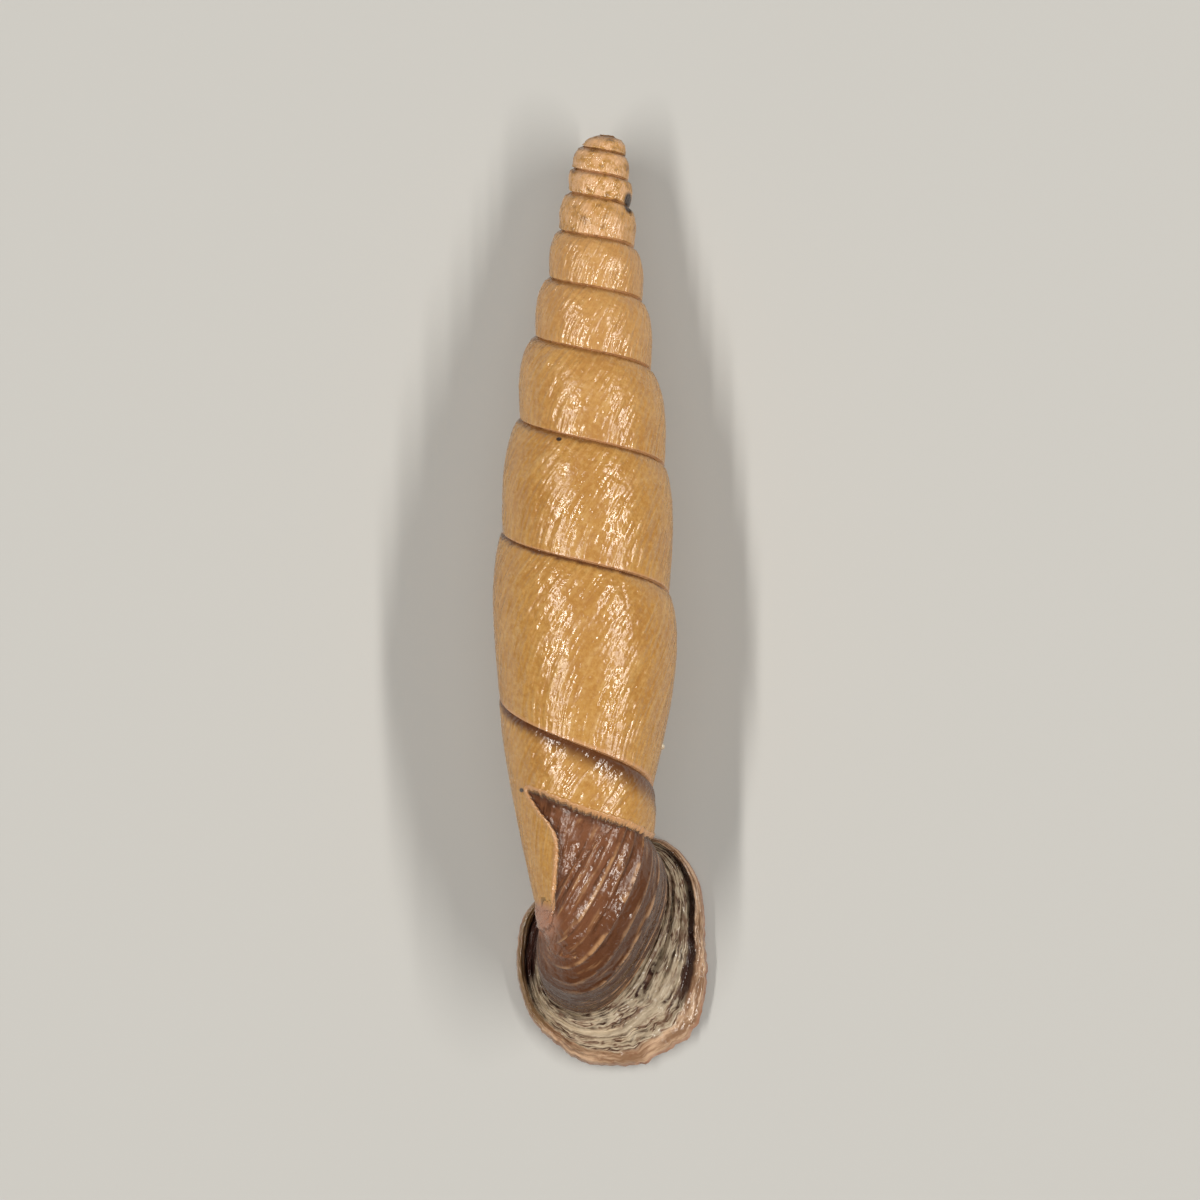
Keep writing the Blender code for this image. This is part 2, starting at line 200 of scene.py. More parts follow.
# Layers of noise, each by its changes along the growth and across it, its strength, and a
# number that sets its pattern apart.
STRIA_NOISE = ((STRIA_COUNT, 2.5, 1.0, 0.0), (STRIA_COUNT * 2.3, 5.0, 0.5, 4.0))
NEWER_NOISE = ((30, 2, 1.0, 3.0),)
LUMP_NOISE = ((7, 3.5, 1.0, 8.0), (17, 8, 0.5, 9.0))
# From which half turn on a growth line leans back by how many half turns.
LINE_SLANT = ((5.0, 0.10), (12.0, 0.17), (17.0, 0.30))
LINE_CURVE = 1.5                # above 1, a growth line leans most at its top
# The newer growth's lines fan out from the hinge of the neck.
HINGE_PLACE = (-0.55, -9.6, 2.8)
HINGE_GROWTH = (20.0, 0.5, 2.0)  # the old shell's growth where the neck's rings meet it
RING_TURN = 108.0               # degrees that the growth turns in one stage of the neck

SHARP_ANGLE = math.radians(50)

# Colours, as the light that each surface sends back.
TAN = (0.53, 0.27, 0.066)
TAN_DEEP = (0.42, 0.19, 0.043)
TAN_PALE = (0.63, 0.375, 0.13)
WORN_BROWN = (0.22, 0.10, 0.035)
WORN_PINK = (0.74, 0.43, 0.22)
BAND_BROWN = (0.10, 0.030, 0.010)
# Painted highlight: the pale pink along rounded edges, a whorl's lower edge above the suture and
# the old edge.
RIM_HIGHLIGHT_PINK = (0.62, 0.33, 0.17)
KNOB_PINK = (0.40, 0.19, 0.115)
NECK_PURPLE = (0.20, 0.078, 0.036)
NECK_DARK = (0.065, 0.021, 0.006)
NECK_LIGHT = (0.46, 0.25, 0.12)
# The dark of the lip's layers, also painted shade in the lip's grooves and painted shadow beside
# the old edge.
DARK_LAYER_AND_SHADE = (0.045, 0.018, 0.013)
LAYER_GREY = (0.30, 0.24, 0.17)
LAYER_CREAM = (0.58, 0.48, 0.35)
LAYER_BROWN = (0.20, 0.115, 0.075)
RIM_TAN = (0.26, 0.145, 0.08)
RIM_PALE = (0.60, 0.40, 0.26)
RIM_OLIVE = (0.17, 0.095, 0.035)
# The dark of a speck, and painted shade in the chip and in the pit.
SPOT_DARK_AND_SHADE = (0.035, 0.018, 0.012)
SAND_PALE = (0.72, 0.64, 0.50)
INSIDE_PALE = (0.50, 0.34, 0.25)
INSIDE_BROWN = (0.34, 0.16, 0.09)

# Stops of the two colour ramps: the noise's value and the colour it has there.
WORN_STOPS = ((0.33, WORN_BROWN), (0.45, TAN), (0.57, WORN_PINK))
LAYER_STOPS = ((0.36, DARK_LAYER_AND_SHADE), (0.42, LAYER_GREY), (0.49, LAYER_CREAM), (0.54, LAYER_BROWN),
               (0.57, DARK_LAYER_AND_SHADE), (0.62, LAYER_CREAM))

# Single spots of colour, by their place and their half sizes: the worn knob in which the old
# edge ends, then the inside of the chip, dark with its own colour and with painted shade, a
# speck on a whorl, and a pit by the old edge, dark with painted shade.
KNOB = ((-1.85, -10.25, 3.9), (0.75, 0.75, 3.0))
DARK_SPOTS_AND_SHADE = (((0.96, 12.85, 3.0), (0.15, 0.30, 0.8)),
              ((-1.31, 5.13, 4.7), (0.07, 0.05, 1.0)),
              ((-2.50, -6.07, 3.5), (0.07, 0.07, 1.5)))

# Noise over the surface: cells to the metre, detail and roughness.
PATCHES = (700.0, 3.0, 0.55)
SPECKS = (6000.0, 4.0, 0.7)
BLOTCHES = (2600.0, 4.0, 0.65)  # of the worn whorls
BAND_WAVES = (1800.0, 3.0, 0.55)
LINE_WAVES = (900.0, 3.0, 0.55)
NECK_GRAIN = (3500.0, 4.0, 0.55)
# breaks the pale ridge crests into glints of painted highlight
CREST_GLINT_BREAKS = (1300.0, 4.0, 0.55)
LAYER_WAVES = (1200.0, 3.0, 0.55)
MOTTLES = (2000.0, 3.0, 0.6)
INSIDE_CLOUDS = (1500.0, 2.0, 0.55)
FINE_DENTS = (6500.0, 1.0, 0.55)
COARSE_DENTS = (2300.0, 1.0, 0.55)
GLOSS_PATCHES = (900.0, 2.0, 0.55)
# Noise drawn out along the growth lines, for colour and for relief: detail and roughness.
WHORL_COLOUR_LINES = (4.0, 0.65)
WHORL_RELIEF_LINES = (1.0, 0.4)
NECK_COLOUR_LINES = (3.0, 0.6)
NECK_RELIEF_LINES = (2.0, 0.5)
COLOUR_LINE_COUNT = STRIA_COUNT * 1.3  # lines of colour in a half turn of a whorl
COLOUR_LINE_CHANGE = 2.5        # how much a line changes on its way down the whorl
NECK_LINE_COUNT = 34.0          # lines of colour in one stage of the neck
STRAND_COUNT = 10.0             # strands of colour across the lip

# Smooth steps. On the whorls each goes by half turns, and on the neck and lip by stages,
# where 1 is the lip's root and 2 its rim. The first two values are where it starts and ends,
# and the other two what it gives there, or else 0 and 1.
WORN = (WORN_END, WORN_END - 4, 0.0, 0.85)
BAND_WIDTH = (17.8, 19.3, 0.22, 1.6)  # of the dark band below a suture
BAND_STRENGTH = (13.0, 17.0, 0.5, 0.95)
BAND_END = (19.9, 19.5)
NECK_WAVE = (0.95, 1.2, 0.02, 0.16)  # how far a line strays
NECK_LINE_CHANGE = (0.9, 1.2, 1.3, 2.2)  # how much a line changes round the neck
NECK_DARKENS = (0.2, 0.65)
LAYERS_START = (1.00, 1.07)
WHITE_START = (1.42, 1.48)      # of the white arc across the lower lip
WHITE_END = (1.60, 1.54)
RIM_START = (1.80, 1.86)
LAYER_WAVE = 0.16               # stages by which the borders of the lip's colours stray
LEFT_EARLIER = (0.2, -0.6, 0.0, 0.09)  # stages by which they come earlier on the left side
# The painted shade in the grooves on the lip's two sides: how much each leans towards the upper
# lip, the stages over which it starts, and how far out to its side it starts to show.
RIGHT_GROOVE_SHADE = (-0.21, (1.64, 1.70), (0.62, 0.80))
LEFT_GROOVE_SHADE = (-0.3, (1.32, 1.42), (0.70, 0.90))
BAND_WAVE = 0.3                 # millimetres by which the band's lower border strays
# strength of the pale ridge crests, partly painted highlight
CREST_GLINT_STRENGTH = 0.9
# Steps by region, halfway from one region's number to the next.
NEWER_START = (0.4, 0.6)
INSIDE_START = (2.3, 2.7)

# Gloss and fine relief.
ROUGHNESS = (0.15, 0.40, 0.16, 0.33)  # from the gloss noise to the surface's roughness
REFLECTION = (0.0, 1.0, 0.8, 0.5)  # the whorls mirror more than the newer growth
NECK_LINE_RELIEF = 0.6
COARSE_RELIEF = 1.5
FINE_RELIEF = 0.6
RELIEF_DEPTH = 0.000045         # in metres

# From these coordinates to the ones the solid stands in.
FRAME_SHIFT = (-0.0373, 0.0921, 0.0)
# The photograph: the camera's distance from the plane it looks down on, that plane's height,
# and the width of the view there.
CAMERA_DISTANCE = 160.0
CAMERA_HEIGHT = 3.0
VIEW_WIDTH = 38.71
SENSOR = 36.0
NEAR_CLIP, FAR_CLIP = 0.001, 10.0  # in metres

# The studio, in metres and watts. The two long, narrow lights give the shell its two rows of
# glints, and the soft one above them isn't mirrored in it.
STRIP_SIZE = (0.32, 0.013)
STRIP_WATTS = 0.64
LEFT_PLACE = (-0.168, 0.0, 0.249)
RIGHT_PLACE = (0.20, 0.0, 0.225)
TOP_SIZE = (0.4, 0.4)
TOP_WATTS = 0.4
TOP_PLACE = (0.0, 0.0, 0.5)
LIGHT_COLOUR = (1.0, 0.96, 0.89)
SKY_STRENGTH = 0.10
FLOOR_REACH = 0.6
FLOOR_COLOUR = (0.52, 0.52, 0.51)
FLOOR_ROUGHNESS = 0.9


def spline(points, place):
    """The smooth curve through points, at a place counted in points."""
    last = len(points) - 1
    place = min(max(place, 0.0), float(last))
    start = min(int(place), last - 1)
    part = place - start
    before = points[max(start - 1, 0)]
    after = points[min(start + 2, last)]
    result = []
    for a, b, c, d in zip(before, points[start], points[start + 1], after):
        slope_in = (c - a) / 2
        slope_out = (d - b) / 2
        value = (b * (1 + 2 * part) * (1 - part) ** 2 + slope_in * part * (1 - part) ** 2
                 + c * part ** 2 * (3 - 2 * part) - slope_out * part ** 2 * (1 - part))
        result.append(value)
    return result


def mix(a, b, share):
    return a + (b - a) * share


def groove_shares(height):
    """The shares of a whorl's height that the suture's groove takes below and above it."""
    height = max(height, GROOVE_BELOW)
    return min(GROOVE_BELOW / height, GROOVE_MOST), min(GROOVE_ABOVE / height, GROOVE_MOST / 2)


def row_shares(half_turns):
    """The rows of a whorl: the two edges of the groove, and the ones evenly between them."""
    height = spline(SUTURE, half_turns + 2)[0] - spline(SUTURE, half_turns)[0]
    below, above = groove_shares(height)
    belly = [mix(below, 1 - above, number / BELLY_ROWS) for number in range(BELLY_ROWS + 1)]
    return [0.0, below / 2] + belly + [1 - above / 2]


def whorl_point(half_turns, share, inset=0.0):
    """A point on the spire, at a share of the way down from one suture to the next."""
    upper_depth, upper_radius, bulge = spline(SUTURE, half_turns)
    lower_depth, lower_radius, _ = spline(SUTURE, half_turns + 2)
    below, above = groove_shares(lower_depth - upper_depth)
    depth = mix(upper_depth, lower_depth, share)
    radius = mix(upper_radius, lower_radius, share)
    bulge = min(bulge, lower_radius * MOST_BULGE)
    radius += bulge * math.sin(math.pi * max(share, 0.0) ** BULGE_HIGH)
    out_of_groove = min(share / below, (1 - share) / above, 1.0)
    groove_turn = half_turns + (0 if share < 0.5 else 2)
    groove = GROOVE_DEPTH * min(1.0, max(0.0, GROOVE_END - groove_turn))
    radius -= min(radius * GROOVE_RADIUS_SHARE, groove) * (1 - out_of_groove)
    radius -= min(radius * INSET_RADIUS_SHARE, inset)
    y = APEX_Y - depth - inset
    lean = AXIS_LEAN * max(0.0, y / APEX_Y) ** LEAN_POWER
    angle = math.pi * half_turns
    x = AXIS_X + lean - radius * math.cos(angle)
    z = radius * math.sin(angle)
    y -= COIL_TILT * z
    turned_y = y * math.cos(LYING_TILT) + z * math.sin(LYING_TILT)
    turned_z = AXIS_HEIGHT + z * math.cos(LYING_TILT) - y * math.sin(LYING_TILT)
    return x, turned_y, turned_z


def make_mesh_object(name, bm, traits=None):
    """A closed mesh object in metres from a bmesh in millimetres.

    Traits hold each vertex's region, growth and distance from the old edge, which the colours
    need later.
    """
    bmesh.ops.scale(bm, verts=bm.verts, vec=(MM, MM, MM))
    if traits:
        bm.verts.index_update()
        for vert in bm.verts:
            TRAITS.append((vert.co.copy(), *traits[vert.index]))
    bmesh.ops.triangulate(bm, faces=bm.faces)
    bmesh.ops.recalc_face_normals(bm, faces=bm.faces)
    mesh = bpy.data.meshes.new(name)
    bm.to_mesh(mesh)
    bm.free()
    obj = bpy.data.objects.new(name, mesh)
    bpy.context.scene.collection.objects.link(obj)
    return obj


def column_ticks():
    """The ticks at which the spire's columns start at the suture above them."""
    ticks = []
    tick = -2 * TICKS
    while tick <= (len(SUTURE) - 1) * TICKS - SLANT:
        ticks.append(tick)
        tick += [step for start, step in COLUMN_STEPS if tick >= start * TICKS][-1]
    return ticks


def growth_line(half_turns, share):
    """Where the growth line through a point of the spire starts, in half turns."""
    (first, low), (middle, medium), (last, high) = LINE_SLANT
    if half_turns < middle:
        slant = mix(low, medium, max(0.0, (half_turns - first) / (middle - first)))
    else:
        slant = mix(medium, high, min(1.0, (half_turns - middle) / (last - middle)))
    return half_turns + slant * (1 - (1 - share) ** LINE_CURVE)


def newer_growth_place(point):
    """The stage of the neck's growth at a point on the newer shell, and its place across."""
    away = Vector(point) - Vector(HINGE_PLACE)
    forward = away.x * math.sin(HINGE_ANGLE) - away.y * math.cos(HINGE_ANGLE)
    across = away.x * math.cos(HINGE_ANGLE) + away.y * math.sin(HINGE_ANGLE)
    turn = math.degrees(math.atan2(forward, away.z))
    across = min(1.0, max(-1.0, across / NECK_RINGS[1][1]))
    return (turn - NECK_RINGS[0][3]) / RING_TURN, across, math.sqrt(1 - across ** 2)


def old_edge_line():
    """The ragged old edge, seen from above, as short straight pieces."""
    course = EDGE_UPPER + EDGE_STRIP
    line = []
    for number in range(EDGE_CUTS * (len(course) - 1) + 1):
        x, y = spline(course, number / EDGE_CUTS)
        shift = EDGE_RAGGED * noise.noise((number * EDGE_CHANGE, 0.0, 5.0))
        line.append((x + shift, y + shift))
    return line


OLD_EDGE = old_edge_line()


def edge_distance(point):
    """How far a point lies from the old edge, seen from above: below 0 on the newer growth."""
    x, y, z = point
    if y > EDGE_TOP or z < EDGE_FLOOR - EDGE_FADE:
        return EDGE_REACH
    nearest = EDGE_REACH
    inside = False
    outline = OLD_EDGE + list(EDGE_REST)
    for (x1, y1), (x2, y2) in zip(outline, outline[1:] + outline[:1]):
        if (y1 > y) != (y2 > y) and x < mix(x1, x2, (y - y1) / (y2 - y1)):
            inside = not inside
        if min(x1, x2) - EDGE_REACH < x < max(x1, x2) + EDGE_REACH:
            run = (x2 - x1, y2 - y1)
            part = ((x - x1) * run[0] + (y - y1) * run[1]) / (run[0] ** 2 + run[1] ** 2)
            part = min(1.0, max(0.0, part))
            away = math.hypot(x - x1 - part * run[0], y - y1 - part * run[1])
            nearest = min(nearest, away)
    return -nearest if inside else nearest


def smooth_step(value, low, high):
    share = min(1.0, max(0.0, (value - low) / (high - low)))
    return share * share * (3 - 2 * share)


def spire_point(half_turns, share):
    """A point of the spire with its relief, its region, its growth and its edge distance."""
    height = spline(SUTURE, half_turns + 2)[0] - spline(SUTURE, half_turns)[0]
    at_suture = min(1.0, RELIEF_FADE * share, RELIEF_FADE * (1 - share))
    relief = whorl_relief(growth_line(half_turns, share), share) * at_suture
    point = Vector(whorl_point(half_turns, share, -relief))
    edge = edge_distance(point)
    raised = smooth_step(point.z, EDGE_FLOOR - EDGE_FADE, EDGE_FLOOR)
    if edge < EDGE_REACH and raised > 0:
        step = EDGE_STEP * smooth_step(-edge, -EDGE_SOFT, EDGE_SOFT)
        bead = BEAD_HEIGHT * math.exp(-((edge - BEAD_PLACE) / BEAD_WIDTH) ** 2)
        if edge < 0:
            stage, across, _ = newer_growth_place(point)
            relief = NEWER_HEIGHT * layered_noise(NEWER_NOISE, stage, across)
        inset = (step - bead) * raised - relief
        point = Vector(whorl_point(half_turns, share, inset))
    if edge < 0:
        return point, (NEWER_SHELL, newer_growth_place(point), edge)
    return point, (OLD_SHELL, (half_turns, share, share * height), edge)


def layered_noise(layers, along, across):
    """Layers of noise on top of one another, at a place along and across the growth."""
    return sum(strength * noise.noise((along * changes, across * side_changes, apart))
               for changes, side_changes, strength, apart in layers)


def whorl_relief(column, share):
    """How far growth lines and wear raise a point of the spire."""
    worn = min(1.0, max(0.0, (WORN_END - column) / WORN_FADE))
    striae = STRIA_HEIGHT * layered_noise(STRIA_NOISE, column, share)
    lumps = WORN_HEIGHT * layered_noise(LUMP_NOISE, column, share)
    return striae * (1 - WORN_SMOOTH * worn) + lumps * worn


def make_whorls(name):
    """The spire and the body whorl: a strip wound round the axis, its edges meeting."""
    bm = bmesh.new()
    heading = bm.verts.layers.float_vector.new("heading")
    apex = bm.verts.new(whorl_point(0, 0))
    tip = bm.verts.new(whorl_point(len(SUTURE) - 1, 0))
    ticks = column_ticks()
    columns = {}
    for tick in ticks:
        column = []
        for share in row_shares(tick / TICKS):
            half_turns = (tick + SLANT * share) / TICKS
            point = Vector(whorl_point(half_turns, share))
            ends = [end for end in (apex, tip) if (end.co - point).length < END_MERGE]
            vert = ends[0] if ends else bm.verts.new(point)
            angle = math.pi * half_turns
            vert[heading] = (math.cos(angle), math.sin(angle), half_turns + 2 * share)
            column.append(vert)
        columns[tick] = column
    rows = len(columns[ticks[0]])
    for tick, following in zip(ticks, ticks[1:]):
        left = columns[tick]
        right = columns[following]
        for row in range(rows - 1):
            add_face(bm, (left[row], left[row + 1], right[row + 1], right[row]))
        lower = [columns[place][0] for place in range(tick + NEXT_TURN, following + NEXT_TURN + 1)
                 if place in columns]
        add_face(bm, (left[-1], *(lower or (tip,)), right[-1]))
    refine_edge(bm)
    traits = []
    for vert in bm.verts:
        cosine, sine, level = vert[heading]
        half_turns = level - (level - math.atan2(sine, cosine) / math.pi) % 2
        share = (level - half_turns) / 2
        if share > 1 - SAME_SHARE:
            half_turns, share = half_turns + 2, 0.0
        vert.co, trait = spire_point(half_turns, share)
        if vert in (apex, tip):
            vert.co = whorl_point(0 if vert is apex else len(SUTURE) - 1, 0)
        traits.append(trait)
    return make_mesh_object(name, bm, traits)


def refine_edge(bm):
    """Cut the faces at the old edge finer, first along the whorl's height, then both ways."""
    for longest, cuts in ((LONG_EDGE, HEIGHT_CUTS), (0.0, 1)):
        near = [face for face in bm.faces
                if abs(edge_distance(face.calc_center_median())) < REFINED_REACH
                and face.calc_center_median().y > EDGE_STRIP[-1][1]]
        edges = {edge for face in near for edge in face.edges if edge.calc_length() > longest}
        bmesh.ops.subdivide_edges(bm, edges=list(edges), cuts=cuts, use_grid_fill=True)


def add_face(bm, corners):
    """A face through the corners that differ, where there are three or more."""
    distinct = list(dict.fromkeys(corners))
    if len(distinct) > 2:
        bm.faces.new(distinct)


def rounded(value):
    """A sine or cosine, pushed out so that a ring is fuller than an ellipse."""
    return math.copysign(abs(value) ** (2 / RING_FULLNESS), value)


def ring_angles():
    return [2 * math.pi * number / RING_POINTS for number in range(RING_POINTS)]


def neck_ring(stage, inset=0.0, folds=(), ridge=0.0):
    """One growth ring of the neck, at a stage from 0 at its root to 1 at the lip."""
    flat = [(*centre, length, width, turn) for centre, length, width, turn in NECK_RINGS]
    x, y, z, length, width, turn = spline(flat, stage * (len(flat) - 1))
    turn = math.radians(turn)
    ring = []
    for angle in ring_angles():
        outside = (1 + math.sin(angle)) / 2
        depth = inset + fold_height(angle, folds) - ridge * outside
        on_length = (length - depth) * rounded(math.cos(angle))
        on_width = (width - depth) * rounded(math.sin(angle))
        level = on_width * math.sin(turn)
        ring.append((x + on_length * math.cos(HINGE_ANGLE) + level * math.sin(HINGE_ANGLE),
                     y + on_length * math.sin(HINGE_ANGLE) - level * math.cos(HINGE_ANGLE),
                     z + on_width * math.cos(turn)))
    return ring


def fold_height(angle, folds):
    """How far the folds of the mouth stand in at this angle of a ring."""
    height = 0.0
    for place, tall, wide in folds:
        away = abs((angle - place + math.pi) % (2 * math.pi) - math.pi)
        height = max(height, tall * max(0.0, 1 - away / wide))
    return height


def ridge_height(stage):
    """How far the growth ridges raise the neck at this stage."""
    height = 0.0
    for crest, tall in RIDGES:
        away = stage - crest
        reach = RIDGE_FALL if away > 0 else RIDGE_RISE
        height = max(height, tall * (1 - abs(away) / reach))
    return height


def ridge_share(trait):
    """How much of a ridge's crest a modelled point has, from 0 to 1."""
    _, region, (stage, _, sine), _ = trait
    if region not in (NECK, NEWER_SHELL):
        return 0.0
    return max(0.0, ridge_height(stage)) * (1 + sine) / 2 / RIDGE_MOST


def lip_reach(angle):
    """The reach of the rim from the lip's centre, clockwise from +X, with its frill."""
    count = len(LIP_REACH)
    looped = [(value,) for value in LIP_REACH[-1:] + LIP_REACH + LIP_REACH[:2]]
    reach = spline(looped, 1 + angle / (2 * math.pi) * count % count)[0]
    frilled = max(0.0, math.cos(angle - LOBE_PLACE))
    place = (NOTCH_CHANGE * math.cos(angle), NOTCH_CHANGE * math.sin(angle), 2.0)
    notch = abs(noise.noise(place)) + abs(noise.noise(Vector(place) * NOTCH_FINER))
    reach -= NOTCH_DEPTH * notch * mix(NOTCH_LEAST, 1.0, frilled)
    return reach + LOBE_HEIGHT * frilled * math.sin(LOBE_COUNT * angle)


def lip_ring(share, height, layers=0.0):
    """A ring of the lip, at a share of the way from the neck to the rim, rough with layers."""
    ring = []
    for angle, (x, y, _) in zip(ring_angles(), neck_ring(1.0)):
        clockwise = angle - HINGE_ANGLE
        reach = lip_reach(clockwise)
        rim_x = LIP_CENTRE[0] + reach * math.cos(clockwise)
        rim_y = LIP_CENTRE[1] - reach * math.sin(clockwise)
        flow = (share * LAYER_COUNT, LAYER_CHANGE * math.cos(angle), LAYER_CHANGE * math.sin(angle))
        finer = LAYER_FINER_HEIGHT * noise.noise(Vector(flow) * LAYER_FINER)
        rise = layers * (noise.noise(flow) + finer)
        ring.append((mix(x, rim_x, share), mix(y, rim_y, share), height + rise))
    return ring


def loft(name, rings, traits):
    """A closed solid through rings of equal count, its two ends capped.

    Traits hold the region and the place along the growth for each ring. Points of the neck
    that lie on the old side of the old edge count as old shell.
    """
    bm = bmesh.new()
    rows = [[bm.verts.new(point) for point in ring] for ring in rings]
    marks = []
    for (region, place), ring in zip(traits, rings):
        for angle, point in zip(ring_angles(), ring):
            edge = edge_distance(point)
            if 0 < edge < EDGE_REACH and region == NECK:
                marks.append((OLD_SHELL, HINGE_GROWTH, edge))
                continue
            edge = edge if edge < EDGE_REACH else -EDGE_REACH
            marks.append((region, (place, math.cos(angle), math.sin(angle)), edge))
    for row, following in zip(rows, rows[1:]):
        for number in range(len(row)):
            after = (number + 1) % len(row)
            bm.faces.new((row[number], row[after], following[after], following[number]))
    for row, (region, place) in ((rows[0], traits[0]), (rows[-1], traits[-1])):
        centre = sum((vert.co for vert in row), Vector()) / len(row)
        middle = bm.verts.new(centre)
        marks.append((region, (place, 0.0, 0.0), -EDGE_REACH))
        for number in range(len(row)):
            bm.faces.new((row[number], row[(number + 1) % len(row)], middle))
    return make_mesh_object(name, bm, marks)


def make_neck():
    """The neck and lip: a bent tube with a trumpet mouth, closed deep inside."""
    stages = [number * STAGE_STEP for number in range(round(1 / STAGE_STEP) + 1)]
    rings = [neck_ring(stage, ridge=ridge_height(stage)) for stage in stages]
    back = []
    for number in range(LIP_CUTS * (len(LIP_BACK) - 1) + 1):
        share, height = spline(LIP_BACK, number / LIP_CUTS)
        back.append(share)
        rings.append(lip_ring(share, height, LAYER_HEIGHT * min(1.0, LAYER_FADE * (1 - share))))
    rings += [lip_ring(share, height) for share, height in LIP_FRONT]
    rings += [neck_ring(stage, WALL, FOLDS) for stage in THROAT_STAGES]
    traits = [(NECK, stage) for stage in stages]
    traits += [(NECK, 1.0 + share) for share in back]
    traits += [(INSIDE, 1.0 + share) for share, _ in LIP_FRONT]
    traits += [(INSIDE, stage) for stage in THROAT_STAGES]
    return loft("neck", rings, traits)


def make_throat_cutter():
    """What the inside of the neck takes out of the body whorl."""
    stages = (1.0,) + THROAT_STAGES + (THROAT_STAGES[-1] - THROAT_DEEPER,)
    rings = [neck_ring(stage, WALL / 2) for stage in stages]
    return loft("throat_cutter", rings, [(INSIDE, stage) for stage in stages])


def make_ground_cutter():
    """Everything below the ground, which leaves small flats where the shell rests."""
    bm = bmesh.new()
    bmesh.ops.create_cube(bm, size=GROUND_SIZE)
    bmesh.ops.translate(bm, verts=bm.verts, vec=(0, 0, -GROUND_SIZE / 2))
    return make_mesh_object("ground_cutter", bm)


def make_ball(name, place, size):
    bm = bmesh.new()
    bmesh.ops.create_icosphere(bm, subdivisions=BALL_DETAIL, radius=1.0)
    bmesh.ops.scale(bm, verts=bm.verts, vec=size)
    bmesh.ops.translate(bm, verts=bm.verts, vec=place)
    return make_mesh_object(name, bm)


def combine(obj, other, operation):
    """Cut or join another mesh with a Boolean, keep the result and remove that mesh."""
    modifier = obj.modifiers.new(other.name, "BOOLEAN")
    modifier.object = other
    modifier.operation = operation
    modifier.solver = "EXACT"
    graph = bpy.context.evaluated_depsgraph_get()
    result = bpy.data.meshes.new_from_object(obj.evaluated_get(graph), depsgraph=graph)
    obj.modifiers.clear()
    obj.data = result
    bpy.data.objects.remove(other)


def fit_into_solid(obj):
    """Put the mesh where the solid is, inside its box."""
    low, high = SOLID_BOX
    points = [vert.co.copy() for vert in obj.data.vertices]
    own_low = [min(axis) for axis in zip(*points)]
    own_high = [max(axis) for axis in zip(*points)]
    shift = [(a + b - c - d) / 2 for a, b, c, d in zip(low, high, own_low, own_high)]
    for vert in obj.data.vertices:
        for axis in range(3):
            moved = vert.co[axis] + (shift[axis] if axis < 2 else 0.0)
            vert.co[axis] = min(max(moved, low[axis]), high[axis])


def write_traits(mesh):
    """Give the finished mesh what the colours need, from the modelled points nearest to it.

    Growth is kept for each corner of a face, because a whorl's lower edge is also the upper
    edge of the next whorl. The others are one value for each vertex.
    """
    tree = kdtree.KDTree(len(TRAITS))
    for number, trait in enumerate(TRAITS):
        tree.insert(trait[0], number)
    tree.balance()
    found = [TRAITS[tree.find(vert.co)[1]] for vert in mesh.vertices]
    region = mesh.attributes.new("region", "FLOAT", "POINT")
    region.data.foreach_set("value", [trait[1] for trait in found])
    edge = mesh.attributes.new("old_edge", "FLOAT", "POINT")
    edge.data.foreach_set("value", [trait[3] for trait in found])
    ridge = mesh.attributes.new("ridge", "FLOAT", "POINT")
    ridge.data.foreach_set("value", [ridge_share(trait) for trait in found])
    growth = mesh.attributes.new("growth", "FLOAT_VECTOR", "CORNER")
    values = []
    for face in mesh.polygons:
        corners = [found[number] for number in face.vertices]
        foot = max((corner[2][1] for corner in corners if corner[1] == OLD_SHELL), default=0.0)
        foot_gap = max(corner[2][2] for corner in corners)
        for _, kind, (first, second, third), _ in corners:
            if kind == OLD_SHELL:
                # On the seam, the next whorl's top counts as this whorl's foot.
                if foot - second > SEAM_SHARE:
                    first, second, third = first - 2.0, 1.0, foot_gap
                first = growth_line(first, second)
            values += (first, second, third)
    growth.data.foreach_set("vector", values)


def add(tree, kind, inputs=None, **settings):
    """A new shader node, its sockets linked or set."""
    made = tree.nodes.new("ShaderNode" + kind)
    for key, value in settings.items():
        setattr(made, key, value)
    for socket, value in (inputs or {}).items():
        if isinstance(value, bpy.types.NodeSocket):
            tree.links.new(value, made.inputs[socket])
        else:
            made.inputs[socket].default_value = value
    return made


def calculate(tree, operation, a, b=0.0, c=0.0):
    return add(tree, "Math", {0: a, 1: b, 2: c}, operation=operation).outputs[0]


def product(tree, a, b):
    return calculate(tree, "MULTIPLY", a, b)


def attribute(tree, name, output="Fac"):
    """What the mesh keeps under a name."""
    return add(tree, "Attribute", attribute_name=name).outputs[output]


def texture(tree, vector, scale, detail, roughness):
    """Noise from 0 to 1 over a vector."""
    made = add(tree, "TexNoise", {"Vector": vector, "Scale": scale, "Detail": detail,
                                  "Roughness": roughness})
    return made.outputs[0]


def between(tree, value, low, high, to_low=0.0, to_high=1.0):
    """A smooth step of value from low to high."""
    made = add(tree, "MapRange", {"Value": value, "From Min": low, "From Max": high,
                                  "To Min": to_low, "To Max": to_high},
               interpolation_type="SMOOTHSTEP")
    return made.outputs[0]


def blend(tree, share, first, second):
    """Two colours mixed, each a socket or a colour."""
    made = add(tree, "Mix", {"Factor": share}, data_type="RGBA", blend_type="MIX")
    for socket, value in (("A", first), ("B", second)):
        place = [item for item in made.inputs if item.name == socket and item.type == "RGBA"][0]
        if isinstance(value, bpy.types.NodeSocket):
            tree.links.new(value, place)
        else:
            place.default_value = (*value, 1.0)
    return [item for item in made.outputs if item.type == "RGBA"][0]


